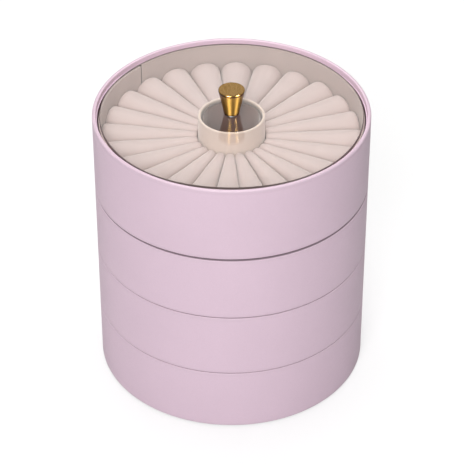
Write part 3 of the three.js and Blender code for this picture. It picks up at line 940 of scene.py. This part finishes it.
# ------------------------------------------------------------------------- lid
def lid():
    b = 0.32
    # band: how far in from the rim the top faces get the painted dark edge finish, wider at the front and back
    band = lambda x, y: 0.42 + (0.7 if y > 0 else 1.7) * (y * y / (x * x + y * y)) ** (1.5 if y > 0 else 4)
    profile = [(LID_R - b - 0.06, LID_Z)] + arc(LID_R - b, LID_Z + b, b, -90, 0, 4)
    profile += arc(LID_R - b, LID_TOP - b, b, 0, 90, 4) + [(LID_R - b - 0.06, LID_TOP)]
    inner = [(2.2, LID_TOP), (2.1, LID_TOP - 0.1), (2.1, LID_Z + 1.75), (4.0, LID_Z)]

    def at(a):
        w = LID_R - band(math.cos(a * DEG), math.sin(a * DEG))
        return profile + [(w, LID_TOP)] + line((w - 0.06, LID_TOP), inner[0], 8) + inner + line(inner[-1], profile[0], 8)

    verts, faces = ring(at, [i * 1.5 for i in range(240)])
    o = make(
        "acrylic_lid",
        verts,
        faces,
        ACRYLIC,
        "lid",
        ["lid_disc"],
        sharp=14,
        second=ACRYLIC_EDGE,
        where=lambda c: math.hypot(c.x, c.y) > LID_R - (band(c.x, c.y) if c.z > LID_TOP - 0.1 else 0.25),
    )
    o.visible_diffuse = False
    return o


def knob():
    """Returns the knob, for the lamps that are only meant for it."""
    z = LID_TOP + 0.1
    h, rt, rf = 16.4, 7.8, 4.7
    side0, side1 = (rf + 0.12, z + 1.5), (rt, z + h - 0.75)
    profile = [(1.9, z + 9.5), (1.9, z), (rf - 1.0, z)]
    profile += arc(rf - 0.75, z + 0.75, 0.75, -80, 0, 7)[0:]
    profile += [side0] + line(side0, side1, 16) + [side1]
    profile += arc(rt - 0.42, z + h - 0.42, 0.42, 5, 88, 7)
    profile += [(rt - 0.7, z + h), (rt - 1.0, z + h - 0.02), (5, z + h - 0.03), (2.5, z + h - 0.03), (0, z + h - 0.03)]
    profile = [(0, z + 9.5)] + profile
    verts, faces = turned(profile, 128)
    return make(
        "turned_knob",
        verts,
        faces,
        BRASS,
        "lid",
        ["lid_knob"],
        sharp=30,
        second=BRASS_FACE,
        where=lambda c: c.z > z + h - 0.06,
    )


LID = lid()
KNOB = knob()


# ---------------------------------------------------------------------- hardware
def spacer(i, z0, z1):
    ro, ri, b = 6.4, 3.35, 0.18
    s = arc(ro - b, z0 + b, b, -90, 0, 3) + arc(ro - b, z1 - b, b, 0, 90, 3)
    s += arc(ri + b, z1 - b, b, 90, 180, 3) + arc(ri + b, z0 + b, b, 180, 270, 3)
    verts, faces = ring(lambda a: s, [k * 5.0 for k in range(72)], centre=PIVOT)
    make("nylon_spacer_%d" % i, verts, faces, NYLON, "bottom_tray", ["pivot_spacer_%d" % i])


for k in range(3):
    spacer(k + 1, POST_TOP[k] + 0.1, BOARD_Z[k + 1] - 0.1)


def foot():
    z1 = BOARD_Z[0] - 0.1
    profile = [(0, 0.0)] + [(r, 0.0) for r in (20, 40, 60, 76.6)]
    profile += arc(77.2, 0.45, 0.45, -70, 60, 5) + [(77.4, z1), (0, z1)]
    verts, faces = turned(profile, 240)
    verts = [(x, y, z + (0.05 * (1 + ripple(x, y, 0, 0.2, 3)) if z < 0.01 and math.hypot(x, y) > 76 else 0)) for x, y, z in verts]
    make("felt_foot", verts, faces, FELT, "bottom_tray", ["base_felt"])


foot()

for node, material in (
    ("bottom_tray_floor_board", BOARD),
    ("third_tray_floor_board", BOARD),
    ("second_tray_floor_board", BOARD),
    ("top_tray_floor_board", BOARD),
    ("top_tray_pivot_post", BOARD),
    ("ring_pad_drum", ROLL_VELVET),
    ("pivot_bolt", STEEL),
    ("pivot_lock_nut", STEEL),
    ("pivot_nut_washer", STEEL),
    ("knob_screw", STEEL),
):
    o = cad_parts[node]
    o.data.materials.clear()
    o.data.materials.append(material)


# ------------------------------------------------------------ floor, light, world
floor_mesh = bpy.data.meshes.new("floor")
floor_mesh.from_pydata([(-6, -6, 0), (6, -6, 0), (6, 6, 0), (-6, 6, 0)], [], [(0, 1, 2, 3)])
floor = bpy.data.objects.new("floor", floor_mesh)
scene.collection.objects.link(floor)
fm = Mat("floor")
fm.surface(Base__Color=(0.42, 0.42, 0.42, 1.0), Roughness=0.9)
fm.shader.inputs["Emission Color"].default_value = (1, 1, 1, 1)
# the sweep is lit from below as seen by eye, without throwing that light on the case
seen = fm.node("LightPath")
glow = fm.math("MULTIPLY", fm.math("MAXIMUM", seen.outputs["Is Camera Ray"], seen.outputs["Is Transmission Ray"]), 0.56)
fm.put(fm.shader.inputs["Emission Strength"], glow)
floor_mesh.materials.append(fm.mat)


def area(name, where, at, size, power, colour=(1, 1, 1)):
    d = bpy.data.lights.new(name, "AREA")
    d.shape, d.size, d.size_y = "RECTANGLE", size[0], size[1]
    d.energy, d.color = power, colour
    o = bpy.data.objects.new(name, d)
    scene.collection.objects.link(o)
    o.location = where
    o.rotation_euler = (Vector(at) - Vector(where)).to_track_quat("-Z", "Y").to_euler()
    return o


def lamp_group(name, pieces, state):
    """A light-linking collection of a few pieces."""
    c = bpy.data.collections.new(name)
    for o in pieces:
        c.objects.link(o)
    for entry in c.collection_objects:
        entry.light_linking.link_state = state
    return c


# the big lamps are kept out of the mirror faces, where they would show as hard white cards
not_knob, only_knob = lamp_group("all_but_mirrors", [KNOB, LID], "EXCLUDE"), lamp_group("knob_only", [KNOB], "INCLUDE")
key = area("key", (-0.30, -1.90, 1.55), (0, 0, 0.1), (1.0, 1.2), 41.0)
top = area("top", (0.0, 0.30, 1.6), (0, 0, 0.1), (1.2, 1.2), 15.0)
# low fills from behind on each side, which lift the two limbs of the drum
for name, x, power in (("fill_left", -1.3, 3.4), ("fill_right", 1.3, 1.2)):
    fill = area(name, (x, 0.80, 0.13), (0, 0, 0.09), (0.5, 0.22), power)
    fill.visible_glossy = False
    fill.light_linking.receiver_collection = not_knob
for lamp in (key, top):
    lamp.light_linking.receiver_collection = not_knob
# two tall cards beside the camera that only the polished knob sees
for name, azimuth, width, power in (("card_left", -23.5, 0.66, 150.0), ("card_right", 54.0, 0.56, 122.0)):
    a = azimuth * DEG
    card = area(name, (1.36 * math.sin(a), -1.36 * math.cos(a), 0.95), (0, 0, 0.18), (width, 0.9), power)
    card.visible_diffuse = False
    card.light_linking.receiver_collection = only_knob

world = bpy.data.worlds.new("studio")
scene.world = world
world.use_nodes = True
wn = world.node_tree
wn.nodes.clear()
wout = wn.nodes.new("ShaderNodeOutputWorld")


def background(strength, colour=(1, 1, 1, 1)):
    n = wn.nodes.new("ShaderNodeBackground")
    n.inputs["Color"].default_value = colour
    if isinstance(strength, bpy.types.NodeSocket):
        wn.links.new(strength, n.inputs["Strength"])
    else:
        n.inputs["Strength"].default_value = strength
    return n.outputs[0]


PANEL = 0.5
# a white backdrop to the eye, an even room for soft light, and a brighter sweep behind for reflections
sky = wn.nodes.new("ShaderNodeTexCoord")
split = wn.nodes.new("ShaderNodeSeparateXYZ")
sweep = wn.nodes.new("ShaderNodeMapRange")
sweep.interpolation_type = "SMOOTHSTEP"
for i, v in enumerate((-0.15, 0.55, 0.12, 0.40)):
    sweep.inputs[i + 1].default_value = v
wn.links.new(sky.outputs["Generated"], split.inputs[0])
wn.links.new(split.outputs[1], sweep.inputs[0])
# higher up behind hangs a pale warm panel, which the lid mirrors
panel = wn.nodes.new("ShaderNodeMapRange")
panel.interpolation_type = "SMOOTHSTEP"
for i, v in enumerate((0.38, 0.52, 0.0, PANEL)):
    panel.inputs[i + 1].default_value = v
wn.links.new(split.outputs[2], panel.inputs[0])
behind = wn.nodes.new("ShaderNodeMapRange")
behind.interpolation_type = "SMOOTHSTEP"
for i, v in enumerate((0.30, 0.55, 0.0, 1.0)):
    behind.inputs[i + 1].default_value = v
wn.links.new(split.outputs[1], behind.inputs[0])
lit = wn.nodes.new("ShaderNodeMath")
lit.operation = "MULTIPLY_ADD"
wn.links.new(panel.outputs[0], lit.inputs[0])
wn.links.new(behind.outputs[0], lit.inputs[1])
wn.links.new(sweep.outputs[0], lit.inputs[2])
path = wn.nodes.new("ShaderNodeLightPath")
room = wn.nodes.new("ShaderNodeMixShader")
wn.links.new(path.outputs["Is Diffuse Ray"], room.inputs[0])
wn.links.new(background(lit.outputs[0], (1.0, 0.92, 0.85, 1)), room.inputs[1])
wn.links.new(background(0.30), room.inputs[2])
pick = wn.nodes.new("ShaderNodeMixShader")
eye = wn.nodes.new("ShaderNodeMath")
eye.operation = "MAXIMUM"
wn.links.new(path.outputs["Is Camera Ray"], eye.inputs[0])
wn.links.new(path.outputs["Is Transmission Ray"], eye.inputs[1])
wn.links.new(eye.outputs[0], pick.inputs[0])
wn.links.new(room.outputs[0], pick.inputs[1])
wn.links.new(background(1.0), pick.inputs[2])
wn.links.new(pick.outputs[0], wout.inputs["Surface"])

scene.view_settings.view_transform = "Standard"
scene.view_settings.look = "None"
